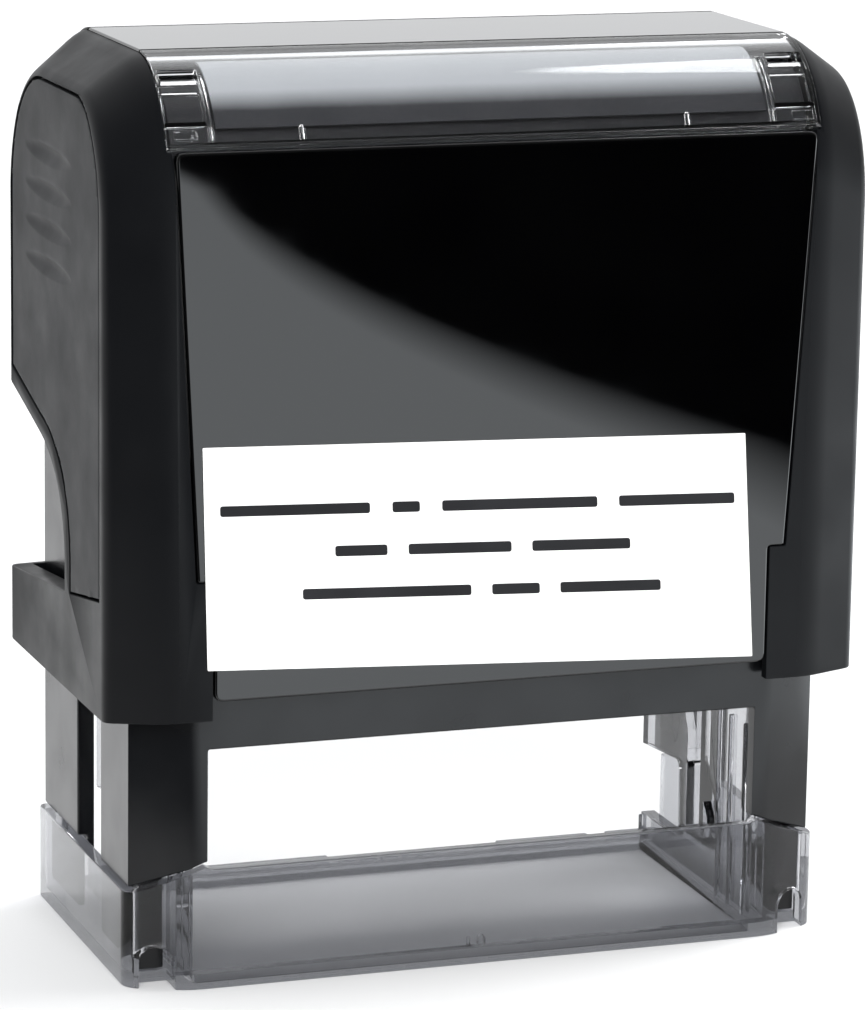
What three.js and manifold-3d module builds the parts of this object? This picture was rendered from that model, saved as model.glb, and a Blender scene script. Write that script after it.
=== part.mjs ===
// A self-inking stamp with a sliding handle, a flipping die, a drawer-like ink pad and a clear base.
// Units are millimetres. +X is to the user's right, +Y is to the back, +Z is up.
// The origin is the centre of the footprint, on the surface that the stamp stands on.

import * as THREE from "three";
import { mergeVertices } from "three/addons/utils/BufferGeometryUtils.js";
import Module from "manifold-3d";

const wasm = await Module();
wasm.setup();

// ---------------------------------------------------------------- driving dimensions

const GAP = 0.3; // clearance between pieces that rest on each other
const PRESS_STROKE = 24.5; // travel of the handle
const IMPRINT_DEPTH = 22;

const HANDLE = {
  halfWidth: 40,
  seamX: 34.2, // where the arms meet the top and front skins
  halfDepth: 20,
  top: 93,
  bottom: 28,
  innerX: 37.7,
  innerY: 18.35,
  skin: 1.25,
};
// Side outline of the handle at its middle, and the smaller one on the arms' outer faces.
const MIDDLE_OUTLINE = {
  front: -19.6,
  rear: HANDLE.halfDepth,
  top: HANDLE.top,
  frontRound: [11.2, 13.6],
  rearRound: [10.5, 13],
};
const OUTER_OUTLINE = {
  front: -17.4,
  rear: 18.9,
  top: 88.9,
  frontRound: [9, 12.5],
  rearRound: [12.5, 13.5],
};
const PANEL = { bottom: 29.9, top: 84.3, halfBottom: 30.4, halfTop: 33.4 };
const TOP_PLATE = { front: -8.9, rear: 9.6 };
const REAR_SKIN_BOTTOM = 79.6;
// The label is cut and stuck on slightly askew: its corners as [x, z] points.
const LABEL = {
  thickness: 0.2,
  corners: [
    [-30.1, 33.2],
    [27.8, 30.6],
    [26.3, 53.9],
    [-30.7, 55.5],
  ],
};

const FRAME = {
  halfWidth: 36.7,
  halfDepth: 17.4,
  facetX: 31.2,
  facetY: 14.6,
  legBottom: 10.2,
  legInnerBottom: 12.95,
  top: 54.2,
  roof: 1.4,
  endWall: 1.8,
  longWall: 1.6,
  windowHalf: 29.3,
  windowTop: 24.5,
  rearWindowHalf: 33.6,
  columnBottom: 2.6,
  columnFront: -10.6,
  columnRear: 15.2,
  slotHalf: 4.4,
  slotTop: 46,
};
// Inner walls that carry the slots for the axle, clear below the split and black above it.
const END_WALL = {
  inner: 30.2,
  outer: 31.8,
  halfDepth: 15,
  split: 25.7,
  arch: { front: 2.9, rear: 12.4, bottom: 4.5, top: 12.8 },
};

const BASE = {
  halfWidth: 37.3,
  halfDepth: 18.05,
  facetX: 31.4,
  facetY: 15.3,
  wall: 1.4,
  height: 9.9,
  frontHeight: 12.3,
  flange: 1.2,
  flangeHalfX: 30,
  flangeHalfY: 14.85,
  rearRail: 1.6,
};

const DIE = {
  halfLength: 28.2,
  face: 8, // axle centre to the printing face
  back: 4.5, // axle centre to the holder's back
  lift: 0.6, // how far the printing face stops above the surface
  cushion: 1.2,
  plate: 1.2,
  relief: 0.8,
  chamfer: 2.6,
  pocket: { halfLength: 24, halfDepth: 7.5, depth: 3 },
};
const IMPRINT_LINES = { lengths: [46, 34, 40], pitch: 5.6, halfHeight: 1.1 };
const AXLE_Z = PRESS_STROKE + DIE.face + DIE.lift;
const AXLE = { radius: 1.9, inner: 26.5, outer: 34.5, slotClearance: 0.4 };
const CAM_PIN = { radius: 1.2, arm: 5, inner: 26.5, outer: 30.9 };
const CAM_GROOVE_DEPTH = 1;
const PRESS_FIT = 0.15; // clearance round the pins in the die holder

const PAD = {
  bottom: 41.6,
  top: 51.9,
  halfWidth: 29.8,
  front: -15.4,
  rear: 17.7,
  pocketHalfX: 28.4,
  pocketHalfY: 13,
  face: 41.9,
  feltTop: 47.6,
  scoop: { radius: 9, depth: 4.2, offset: 5.5 },
  relief: { width: 3.2, depth: 1.4 },
};
const PAD_RAIL = { inner: 28.9, bottom: 40.2, top: 41.3 };

const YOKE = {
  barBottom: 86.4,
  barTop: 90.7,
  halfDepth: 7.6,
  legInner: 32.5,
  legOuter: 34.6,
  legHalfDepth: 4.1,
  boreClearance: 0.2,
  seat: { outer: 7.6, inner: 6.5, depth: 2.6 },
  topPocket: { halfLength: 18, halfDepth: 5.5, depth: 2.2 },
};
const SPRING = { radius: 5.6, wire: 0.42, turns: 6.5, stepsPerTurn: 12, wireSides: 6 };
const SPRING_BOSS = { radius: 4.5, height: 4 };
const GRIP = { outer: 39.95, thickness: 0.95 };
const SCALLOP = {
  levels: [81.2, 77.5, 73.7, 69.9],
  depth: 0.55,
  halfLength: 8.6,
  halfHeight: 1.1,
  centreY: 3.4,
};
const CARD = { thickness: 0.25, endMargin: 6.5, frontMargin: 2.6, rearMargin: 1.2 };
const CARRIER = { skin: 1.2, endSkin: 1.4, apron: 2.5 };

// ---------------------------------------------------------------- shapes and booleans

function solidOf(geometry) {
  const bare = geometry.clone();
  bare.deleteAttribute("normal");
  bare.deleteAttribute("uv");
  const merged = mergeVertices(bare, 1e-4);
  return new wasm.Manifold(
    new wasm.Mesh({
      numProp: 3,
      vertProperties: new Float32Array(merged.attributes.position.array),
      triVerts: new Uint32Array(merged.index.array),
    }),
  );
}

function geometryOf(solid) {
  const mesh = solid.getMesh();
  const geometry = new THREE.BufferGeometry();
  geometry.setAttribute("position", new THREE.BufferAttribute(mesh.vertProperties, 3));
  geometry.setIndex(new THREE.BufferAttribute(mesh.triVerts, 1));
  const flat = geometry.toNonIndexed();
  flat.computeVertexNormals();
  return flat;
}

function union(solids) {
  return solids.reduce((whole, piece) => whole.add(piece));
}

function cut(solid, tools) {
  return tools.reduce((rest, tool) => rest.subtract(tool), solid);
}

function block(x0, x1, y0, y1, z0, z1) {
  const box = new THREE.BoxGeometry(x1 - x0, y1 - y0, z1 - z0);
  return solidOf(box.translate((x0 + x1) / 2, (y0 + y1) / 2, (z0 + z1) / 2));
}

function extruded(points, depth) {
  const shape = new THREE.Shape(points.map(([u, v]) => new THREE.Vector2(u, v)));
  return new THREE.ExtrudeGeometry(shape, { depth, bevelEnabled: false, steps: 1 });
}

// A prism along X from an outline of [y, z] points.
function prismX(points, x0, x1) {
  const cycle = new THREE.Matrix4().set(0, 0, 1, x0, 1, 0, 0, 0, 0, 1, 0, 0, 0, 0, 0, 1);
  return solidOf(extruded(points, x1 - x0).applyMatrix4(cycle));
}

// A prism along Y from an outline of [x, z] points.
function prismY(points, y0, y1) {
  return solidOf(extruded(points, y1 - y0).rotateX(Math.PI / 2).translate(0, y1, 0));
}

// A prism along Z from an outline of [x, y] points.
function prismZ(points, z0, z1) {
  return solidOf(extruded(points, z1 - z0).translate(0, 0, z0));
}

function rodX(radius, x0, x1, y, z, sides = 24) {
  const rod = new THREE.CylinderGeometry(radius, radius, x1 - x0, sides);
  return solidOf(rod.rotateZ(Math.PI / 2).translate((x0 + x1) / 2, y, z));
}

function rodZ(radius, z0, z1, x = 0, y = 0, sides = 28) {
  const rod = new THREE.CylinderGeometry(radius, radius, z1 - z0, sides);
  return solidOf(rod.rotateX(Math.PI / 2).translate(x, y, (z0 + z1) / 2));
}

// The same piece on the -X side: mirrored, with its faces turned back outwards.
function mirrored(solid) {
  const mesh = solid.getMesh();
  const positions = Float32Array.from(mesh.vertProperties, (value, i) => (i % 3 === 0 ? -value : value));
  const triangles = Uint32Array.from(mesh.triVerts);
  for (let i = 0; i < triangles.length; i += 3) {
    [triangles[i + 1], triangles[i + 2]] = [triangles[i + 2], triangles[i + 1]];
  }
  return new wasm.Manifold(new wasm.Mesh({ numProp: 3, vertProperties: positions, triVerts: triangles }));
}

function bothSides(solid) {
  return [solid, mirrored(solid)];
}

// A skin between [y, z] rings that stand at different X; all rings have the same number of points.
function loftX(stations) {
  const count = stations[0].ring.length;
  const vertices = stations.flatMap(({ x, ring }) => ring.flatMap(([y, z]) => [x, y, z]));
  const triangles = [];
  for (let s = 0; s + 1 < stations.length; s += 1) {
    for (let i = 0; i < count; i += 1) {
      const a = s * count + i;
      const b = s * count + ((i + 1) % count);
      triangles.push(a, b, b + count, a, b + count, a + count);
    }
  }
  const contour = (ring) => ring.map(([y, z]) => new THREE.Vector2(y, z));
  const first = THREE.ShapeUtils.triangulateShape(contour(stations[0].ring), []);
  const lastStation = stations[stations.length - 1];
  const last = THREE.ShapeUtils.triangulateShape(contour(lastStation.ring), []);
  const offset = (stations.length - 1) * count;
  first.forEach(([a, b, c]) => triangles.push(c, b, a));
  last.forEach(([a, b, c]) => triangles.push(offset + a, offset + b, offset + c));
  return new wasm.Manifold(
    new wasm.Mesh({
      numProp: 3,
      vertProperties: new Float32Array(vertices),
      triVerts: new Uint32Array(triangles),
    }),
  );
}

// Quarter ellipse from the angle "from" to "to", in quarter turns round [cy, cz].
function quarterArc(cy, cz, w, h, from, to, steps) {
  return Array.from({ length: steps + 1 }, (_, i) => {
    const angle = ((from + ((to - from) * i) / steps) * Math.PI) / 2;
    return [cy + w * Math.cos(angle), cz + h * Math.sin(angle)];
  });
}

// Closed side outline of the handle, [y, z] points anticlockwise seen from +X, drawn in by "inset".
function handleOutline(outline, inset = 0, bottom = HANDLE.bottom) {
  const steps = 7;
  const { front, rear, top, frontRound, rearRound } = outline;
  const [frontW, frontH] = frontRound;
  const [rearW, rearH] = rearRound;
  const rearArc = quarterArc(rear - rearW, top - rearH, rearW - inset, rearH - inset, 0, 1, steps);
  const frontArc = quarterArc(front + frontW, top - frontH, frontW - inset, frontH - inset, 1, 2, steps);
  return [[front + inset, bottom], [rear - inset, bottom], ...rearArc, ...frontArc];
}

// Footprint outline with the two front corners cut off, [x, y] points.
function footprint(halfWidth, halfDepth, facetX, facetY) {
  return [
    [halfWidth, halfDepth],
    [-halfWidth, halfDepth],
    [-halfWidth, -facetY],
    [-facetX, -halfDepth],
    [facetX, -halfDepth],
    [halfWidth, -facetY],
  ];
}

// ---------------------------------------------------------------- lower assembly

// Blind S-shaped groove in the end walls that turns the die over as it goes down.
function camGroove() {
  const steps = 16;
  const half = CAM_PIN.radius + GAP;
  const centre = (turn) => {
    const angle = turn * Math.PI;
    const y = CAM_PIN.arm * Math.cos(angle);
    const z = AXLE_Z - PRESS_STROKE * turn - CAM_PIN.arm * Math.sin(angle);
    return new THREE.Vector2(y, z);
  };
  const overrun = 0.06;
  const left = [];
  const right = [];
  for (let i = 0; i <= steps; i += 1) {
    const turn = -overrun + ((1 + 2 * overrun) * i) / steps;
    const along = centre(turn + 0.01).sub(centre(turn - 0.01)).normalize();
    const at = centre(turn);
    left.push([at.x - along.y * half, at.y + along.x * half]);
    right.unshift([at.x + along.y * half, at.y - along.x * half]);
  }
  const from = END_WALL.inner - 0.5;
  const to = END_WALL.inner + CAM_GROOVE_DEPTH;
  const ends = [centre(0), centre(1)].map((end) => rodX(half, from, to, end.x, end.y, 16));
  return union([prismX([...left, ...right], from, to), ...ends]);
}

function axleSlot(z0, z1) {
  const half = AXLE.radius + AXLE.slotClearance;
  return block(END_WALL.inner - 0.5, END_WALL.outer + 0.5, -half, half, z0, z1);
}

function lowerFrame() {
  const { halfWidth, halfDepth, facetX, facetY, top, endWall, longWall, slotHalf } = FRAME;
  const innerX = halfWidth - endWall;
  const innerY = halfDepth - longWall;
  const outer = prismZ(footprint(halfWidth, halfDepth, facetX, facetY), FRAME.legBottom, top);
  const room = prismZ(footprint(innerX, innerY, facetX - 0.8, facetY - 0.9), 0, top - FRAME.roof);
  const shell = outer.subtract(room);

  const sides = [];
  const tools = [];
  const wallY = innerY + 0.1;
  const wallBottom = END_WALL.split + GAP / 2;
  const endWallUpper = block(END_WALL.inner, END_WALL.outer, -wallY, wallY, wallBottom, top - 0.5);
  const rail = block(PAD_RAIL.inner, END_WALL.inner + 0.2, -wallY, wallY, PAD_RAIL.bottom, PAD_RAIL.top);
  const columnX = BASE.halfWidth - BASE.wall - GAP;
  const columnTop = FRAME.legBottom + 1;
  const columns = [
    block(innerX, columnX, FRAME.columnFront, -slotHalf, FRAME.columnBottom, columnTop),
    block(innerX, columnX, slotHalf, FRAME.columnRear, FRAME.columnBottom, columnTop),
  ];
  [endWallUpper, rail, ...columns].forEach((piece) => sides.push(...bothSides(piece)));

  const legInner = FRAME.windowHalf + 0.2;
  const legCut = prismY(
    [
      [legInner - 2, 0],
      [halfWidth + 1, 0],
      [halfWidth + 1, FRAME.legBottom],
      [halfWidth, FRAME.legBottom],
      [legInner, FRAME.legInnerBottom],
      [legInner - 2, FRAME.legInnerBottom],
    ],
    -halfDepth - 1,
    -facetY + 0.6,
  );
  const sideSlot = block(innerX - 0.1, halfWidth + 1, -slotHalf, slotHalf, 0, FRAME.slotTop);
  const doorY = YOKE.legHalfDepth + 0.5;
  const legDoor = block(YOKE.legInner - GAP, innerX, -doorY, doorY, top - 3, top + 1);
  const upperSlot = axleSlot(END_WALL.split - 4, AXLE_Z + AXLE.radius + 1);
  [legCut, sideSlot, legDoor, camGroove(), upperSlot].forEach((tool) =>
    tools.push(...bothSides(tool)),
  );
  const padX = PAD.halfWidth + GAP;
  tools.push(
    block(-FRAME.windowHalf, FRAME.windowHalf, -halfDepth - 1, -innerY + 0.2, 0, FRAME.windowTop),
    block(-FRAME.rearWindowHalf, FRAME.rearWindowHalf, innerY - 0.2, halfDepth + 1, 0, FRAME.windowTop),
    block(-padX, padX, innerY - 0.2, halfDepth + 1, PAD_RAIL.top, PAD.top + 0.4),
  );

  const boss = rodZ(SPRING_BOSS.radius, top - 0.5, top + SPRING_BOSS.height);
  return cut(union([shell, ...sides]), tools).add(boss);
}

function clearBase() {
  const { halfWidth, halfDepth, facetX, facetY, wall, height, frontHeight, flange } = BASE;
  const outer = prismZ(footprint(halfWidth, halfDepth, facetX, facetY), 0, frontHeight + 1);
  const roomOutline = footprint(halfWidth - wall, halfDepth - wall, facetX - 0.5, facetY - 0.7);
  const room = prismZ(roomOutline, flange, frontHeight + 2);
  const { flangeHalfX: holeX, flangeHalfY: holeY } = BASE;
  const hole = block(-holeX, holeX, -holeY, holeY, -1, flange + 1);

  const lipInner = FRAME.windowHalf + 0.3;
  const aboveFront = prismY(
    [
      [-halfWidth - 1, height],
      [-FRAME.halfWidth, height],
      [-lipInner, FRAME.legInnerBottom - GAP],
      [-lipInner + 0.8, frontHeight],
      [lipInner - 0.8, frontHeight],
      [lipInner, FRAME.legInnerBottom - GAP],
      [FRAME.halfWidth, height],
      [halfWidth + 1, height],
      [halfWidth + 1, frontHeight + 3],
      [-halfWidth - 1, frontHeight + 3],
    ],
    -halfDepth - 1,
    -facetY + 0.6,
  );
  const past = halfWidth + 1;
  const aboveSides = block(-past, past, -facetY + 0.5, halfDepth + 1, height, frontHeight + 3);
  const gapX = FRAME.rearWindowHalf;
  const rearGap = block(-gapX, gapX, halfDepth - wall - 1, halfDepth + 1, BASE.rearRail, height + 1);
  const skirt = cut(outer, [room, hole, aboveFront, aboveSides, rearGap]);

  const axleBottom = AXLE_Z - PRESS_STROKE - AXLE.radius - AXLE.slotClearance;
  const { inner, outer: wallOuter, halfDepth: wallHalf, split, arch } = END_WALL;
  const postWall = block(inner, wallOuter, -wallHalf, wallHalf, 0, split - GAP / 2);
  const rearArch = block(inner - 1, wallOuter + 1, arch.front, arch.rear, arch.bottom, arch.top);
  const endWall = cut(postWall, [axleSlot(axleBottom, split + 1), camGroove(), rearArch]);
  return union([skirt, ...bothSides(endWall)]);
}

function padTray() {
  const { bottom, top, halfWidth, front, rear, pocketHalfX, pocketHalfY, feltTop, scoop, relief } = PAD;
  const body = block(-halfWidth, halfWidth, front, rear, bottom, top);
  const pocket = block(-pocketHalfX, pocketHalfX, -pocketHalfY, pocketHalfY, bottom - 1, feltTop + GAP);
  const fingerScoop = rodZ(scoop.radius, top - scoop.depth, top + 1, 0, rear + scoop.offset, 36);
  const reliefX = halfWidth - relief.width;
  const sideRelief = block(reliefX, halfWidth + 1, rear - relief.depth, rear + 1, bottom - 1, top + 1);
  return cut(body, [pocket, fingerScoop, ...bothSides(sideRelief)]);
}

function inkPad() {
  const x = PAD.pocketHalfX - GAP;
  const y = PAD.pocketHalfY - GAP;
  return block(-x, x, -y, y, PAD.face, PAD.feltTop);
}

// The coil is one round wire along a helix, kept clear of its two seats.
class Helix extends THREE.Curve {
  constructor(radius, z0, z1, turns) {
    super();
    Object.assign(this, { radius, z0, z1, turns });
  }

  getPoint(t, target = new THREE.Vector3()) {
    const angle = 2 * Math.PI * this.turns * t;
    const z = this.z0 + (this.z1 - this.z0) * t;
    return target.set(this.radius * Math.cos(angle), this.radius * Math.sin(angle), z);
  }
}

function returnSpring() {
  const clear = GAP + SPRING.wire;
  const path = new Helix(SPRING.radius, FRAME.top + clear, YOKE.barBottom - clear, SPRING.turns);
  const section = new THREE.Shape();
  section.absarc(0, 0, SPRING.wire, 0, 2 * Math.PI);
  const coil = new THREE.ExtrudeGeometry(section, {
    extrudePath: path,
    steps: Math.round(SPRING.turns * SPRING.stepsPerTurn),
    curveSegments: SPRING.wireSides,
  });
  return solidOf(coil);
}

// ---------------------------------------------------------------- die

function dieHolder() {
  const halfDepth = IMPRINT_DEPTH / 2;
  const { chamfer, pocket } = DIE;
  const seat = DIE.face - DIE.relief - DIE.plate - DIE.cushion - 2 * GAP;
  const outline = [
    [-halfDepth, seat],
    [-halfDepth, -1],
    [-halfDepth + chamfer, -DIE.back],
    [halfDepth - chamfer, -DIE.back],
    [halfDepth, -1],
    [halfDepth, seat],
  ];
  const raised = outline.map(([y, z]) => [y, z + AXLE_Z]);
  const body = prismX(raised, -DIE.halfLength, DIE.halfLength);
  const past = DIE.halfLength + 1;
  const pinHole = rodX(AXLE.radius + PRESS_FIT, AXLE.inner - GAP, past, 0, AXLE_Z);
  const camHole = rodX(CAM_PIN.radius + PRESS_FIT, CAM_PIN.inner - GAP, past, CAM_PIN.arm, AXLE_Z);
  const { halfLength: x, halfDepth: y, depth } = pocket;
  const backPocket = block(-x, x, -y, y, AXLE_Z - DIE.back - 1, AXLE_Z - DIE.back + depth);
  return cut(body, [backPocket, ...bothSides(pinHole), ...bothSides(camHole)]);
}

function dieCushion() {
  const top = AXLE_Z + DIE.face - DIE.relief - DIE.plate - GAP;
  const x = DIE.halfLength - 0.1;
  return block(-x, x, -IMPRINT_DEPTH / 2, IMPRINT_DEPTH / 2, top - DIE.cushion, top);
}

// Rubber plate with plain raised bars standing for three lines of an imprint.
function textPlate() {
  const plateTop = AXLE_Z + DIE.face - DIE.relief;
  const x = DIE.halfLength - 0.1;
  const plate = block(-x, x, -IMPRINT_DEPTH / 2, IMPRINT_DEPTH / 2, plateTop - DIE.plate, plateTop);
  const { lengths, pitch, halfHeight } = IMPRINT_LINES;
  const bars = lengths.map((length, i) => {
    const y = (i - 1) * pitch;
    const half = length / 2;
    return block(-half, half, y - halfHeight, y + halfHeight, plateTop - 0.2, plateTop + DIE.relief);
  });
  return union([plate, ...bars]);
}

// ---------------------------------------------------------------- handle

// [y, z] outline of what is cut out of the back of each arm, between the grip and the ledge.
const WAIST = [
  [22, 35.6],
  [22, 56.2],
  [18.5, 55.5],
  [7.6, 52.6],
  [4.2, 51.4],
  [0.7, 49.2],
  [-1.4, 46.4],
  [-2.6, 42.9],
  [-2.8, 38],
];

// [y, z] outline of the soft grip set into the side of each arm, drawn in by "margin".
function gripOutline(margin) {
  const front = -15.5 + margin;
  const rear = 17.6 - margin;
  const top = 88.3 - margin;
  const steps = 6;
  return [
    [front, 40.1 + margin],
    [-4.9 - margin, 38.4 + margin],
    [-4.8 - margin, 43.2],
    [-3.6 - margin, 47.3],
    [-1.2 - margin, 50.8 + margin],
    [3.1, 53.4 + margin],
    [7, 54.5 + margin],
    [rear, 57.4 + margin],
    ...quarterArc(rear - 11.5, top - 12.5, 11.5, 12.5, 0, 1, steps),
    ...quarterArc(front + 8.5, top - 12, 8.5, 12, 1, 2, steps),
  ];
}

function panelEdge(z, clearance) {
  const share = (z - PANEL.bottom) / (PANEL.top - PANEL.bottom);
  return PANEL.halfBottom + (PANEL.halfTop - PANEL.halfBottom) * share + clearance;
}

// The outline at a share of the way from the handle's middle to the arm's outer face.
function blendedOutline(share) {
  const mix = (a, b) => a + (b - a) * share;
  const { front, rear, top, frontRound, rearRound } = MIDDLE_OUTLINE;
  return {
    front: mix(front, OUTER_OUTLINE.front),
    rear: mix(rear, OUTER_OUTLINE.rear),
    top: mix(top, OUTER_OUTLINE.top),
    frontRound: frontRound.map((size, i) => mix(size, OUTER_OUTLINE.frontRound[i])),
    rearRound: rearRound.map((size, i) => mix(size, OUTER_OUTLINE.rearRound[i])),
  };
}

function arm() {
  const { halfWidth, seamX, innerX, innerY, bottom, skin } = HANDLE;
  const outside = loftX([
    { x: PANEL.halfBottom - 1, ring: handleOutline(MIDDLE_OUTLINE) },
    { x: seamX, ring: handleOutline(MIDDLE_OUTLINE) },
    { x: halfWidth, ring: handleOutline(OUTER_OUTLINE) },
  ]);
  const innerShare = (innerX - seamX) / (halfWidth - seamX);
  // The hollow follows the outside a skin's thickness below it, and goes deeper under the straight side.
  const room = loftX([
    { x: 0, ring: handleOutline(MIDDLE_OUTLINE, skin, bottom - 1) },
    { x: seamX - 0.7, ring: handleOutline(MIDDLE_OUTLINE, skin, bottom - 1) },
    { x: innerX, ring: handleOutline(blendedOutline(innerShare), skin, bottom - 1) },
  ]);
  const straightTop = OUTER_OUTLINE.top - OUTER_OUTLINE.rearRound[1];
  const deepRoom = prismZ(footprint(innerX, innerY, 32.4, 15.4), bottom - 1, straightTop);
  const middle = [
    [0, bottom - 1],
    [panelEdge(bottom - 1, GAP), bottom - 1],
    [panelEdge(HANDLE.top, GAP), HANDLE.top + 1],
    [0, HANDLE.top + 1],
  ];
  const frontCut = prismY(middle, -30, 0);
  const seamCut = block(0, seamX, -30, 30, PANEL.top - 0.5, HANDLE.top + 1);
  const rearCut = block(0, seamX, -10, 30, 0, HANDLE.top + 1);
  const waist = prismX(WAIST, seamX - 1, halfWidth + 1);
  const gripPocket = prismX(gripOutline(-GAP), GRIP.outer - GRIP.thickness - GAP, halfWidth + 1);
  return cut(outside, [room, deepRoom, frontCut, seamCut, rearCut, waist, gripPocket]);
}

function grip() {
  const inner = GRIP.outer - GRIP.thickness;
  const body = prismX(gripOutline(0), inner, GRIP.outer);
  const { levels, depth, halfLength, halfHeight, centreY } = SCALLOP;
  const scallops = levels.map((z) => {
    const lens = new THREE.SphereGeometry(1, 14, 8).scale(depth, halfLength, halfHeight);
    return solidOf(lens.translate(GRIP.outer, centreY, z));
  });
  return cut(body, scallops);
}

// Part of the middle skin of the handle between the given limits.
function middleSkin(inset, thickness, keep) {
  const halfX = HANDLE.seamX - GAP;
  const outside = prismX(handleOutline(MIDDLE_OUTLINE, inset, 20), -halfX, halfX);
  const room = prismX(handleOutline(MIDDLE_OUTLINE, inset + thickness, 10), -halfX - 1, halfX + 1);
  return outside.subtract(room).intersect(keep);
}

function frontPanel() {
  const edge = [
    [-panelEdge(PANEL.bottom, 0), PANEL.bottom],
    [panelEdge(PANEL.bottom, 0), PANEL.bottom],
    [panelEdge(PANEL.top, 0), PANEL.top],
    [-panelEdge(PANEL.top, 0), PANEL.top],
  ];
  return middleSkin(0, HANDLE.skin, prismY(edge, -30, -12));
}

function indexWindow() {
  return middleSkin(0, HANDLE.skin, block(-50, 50, -30, TOP_PLATE.front - GAP, PANEL.top + GAP, 100));
}

function indexCard() {
  const x = HANDLE.seamX - CARD.endMargin;
  const keep = block(-x, x, -30, TOP_PLATE.front - CARD.rearMargin, PANEL.top + CARD.frontMargin, 100);
  return middleSkin(HANDLE.skin + GAP, CARD.thickness, keep);
}

function topPlate() {
  return middleSkin(0, HANDLE.skin, block(-50, 50, TOP_PLATE.front, TOP_PLATE.rear, 80, 100));
}

function rearPanel() {
  return middleSkin(0, HANDLE.skin, block(-50, 50, TOP_PLATE.rear + GAP, 30, REAR_SKIN_BOTTOM, 100));
}

// Inner moulding of the handle: a top bar, the two legs that carry the axle and the window's carrier.
function yoke() {
  const { barBottom, barTop, halfDepth, legInner, legOuter, legHalfDepth, seat, topPocket } = YOKE;
  const bar = block(-legOuter, legOuter, -halfDepth, halfDepth, barBottom, barTop);
  const legFoot = AXLE_Z - AXLE.radius - 2;
  const leg = block(legInner, legOuter, -legHalfDepth, legHalfDepth, legFoot, barBottom + 1);
  const bore = rodX(AXLE.radius + YOKE.boreClearance, legInner - 1, legOuter + 1, 0, AXLE_Z);
  const seatRim = rodZ(seat.outer, barBottom - seat.depth, barBottom + 0.5);
  const seatRing = seatRim.subtract(rodZ(seat.inner, barBottom - seat.depth - 1, barBottom + 0.2));
  const carrierInset = HANDLE.skin + 2 * GAP + CARD.thickness;
  const carrierHalf = HANDLE.seamX - 3 * GAP;
  const carrierRing = handleOutline(MIDDLE_OUTLINE, carrierInset, 70);
  const carrierKeep = block(-50, 50, -30, -halfDepth + 0.5, PANEL.top - CARRIER.apron, barTop);
  const carrier = prismX(carrierRing, -carrierHalf, carrierHalf).intersect(carrierKeep);
  const roomRing = handleOutline(MIDDLE_OUTLINE, carrierInset + CARRIER.skin, 70);
  const roomHalf = carrierHalf - CARRIER.endSkin;
  const carrierRoom = prismX(roomRing, -roomHalf, roomHalf);
  const underBar = block(-50, 50, -30, -halfDepth + 0.1, 60, barTop - CARRIER.skin);
  const whole = union([
    bar,
    seatRing,
    carrier.subtract(carrierRoom.intersect(underBar)),
    ...bothSides(leg.subtract(bore)),
  ]);
  const { halfLength: x, halfDepth: y, depth } = topPocket;
  return whole.subtract(block(-x, x, -y, y, barTop - depth, barTop + 1));
}

function imprintLabel() {
  const back = MIDDLE_OUTLINE.front - GAP;
  return prismY(LABEL.corners, back - LABEL.thickness, back);
}

// ---------------------------------------------------------------- materials and scene graph

function plastic(color, roughness) {
  return new THREE.MeshStandardMaterial({ color, roughness, metalness: 0 });
}

const satinBlack = plastic(0x2b2d30, 0.5);
const fineGrainBlack = plastic(0x3a3c40, 0.62);
const glossBlack = plastic(0x08090b, 0.06);
const frameBlack = plastic(0x26282b, 0.45);
const smokyClear = new THREE.MeshStandardMaterial({
  color: 0x9a9ca0,
  roughness: 0.08,
  metalness: 0,
  transparent: true,
  opacity: 0.35,
});
const windowClear = new THREE.MeshStandardMaterial({
  color: 0xd5d8da,
  roughness: 0.04,
  metalness: 0,
  transparent: true,
  opacity: 0.3,
});
const paper = plastic(0xf7f7f5, 0.85);
const felt = plastic(0x23283c, 0.95);
const rubber = plastic(0x8d4a3a, 0.7);
const foam = plastic(0xb9b4a8, 0.9);
const steel = new THREE.MeshStandardMaterial({ color: 0xb8bbc0, roughness: 0.28, metalness: 1 });

function named(name, solid, material) {
  const mesh = new THREE.Mesh(geometryOf(solid), material);
  mesh.name = name;
  return mesh;
}

function assembly(...meshes) {
  return new THREE.Group().add(...meshes);
}

const rightAxle = rodX(AXLE.radius, AXLE.inner, AXLE.outer, 0, AXLE_Z);
const rightCamPin = rodX(CAM_PIN.radius, CAM_PIN.inner, CAM_PIN.outer, CAM_PIN.arm, AXLE_Z, 16);
const rightArm = arm();
const rightGrip = grip();

const stamp = new THREE.Group();
stamp.name = "self_inking_stamp";
stamp.add(
  assembly(
    named("lower_frame", lowerFrame(), frameBlack),
    named("clear_base", clearBase(), smokyClear),
    named("return_spring", returnSpring(), steel),
  ),
  assembly(named("pad_tray", padTray(), frameBlack), named("ink_pad", inkPad(), felt)),
  assembly(
    named("die_holder", dieHolder(), satinBlack),
    named("die_cushion", dieCushion(), foam),
    named("text_plate", textPlate(), rubber),
    named("axle_pin_right", rightAxle, steel),
    named("axle_pin_left", mirrored(rightAxle), steel),
    named("cam_pin_right", rightCamPin, steel),
    named("cam_pin_left", mirrored(rightCamPin), steel),
  ),
  assembly(
    named("yoke", yoke(), satinBlack),
    named("arm_right", rightArm, satinBlack),
    named("arm_left", mirrored(rightArm), satinBlack),
    named("grip_right", rightGrip, fineGrainBlack),
    named("grip_left", mirrored(rightGrip), fineGrainBlack),
    named("front_panel", frontPanel(), glossBlack),
    named("top_plate", topPlate(), glossBlack),
    named("rear_panel", rearPanel(), satinBlack),
    named("index_card", indexCard(), paper),
    named("imprint_label", imprintLabel(), paper),
    named("index_window", indexWindow(), windowClear),
  ),
);

export default stamp;
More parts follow.
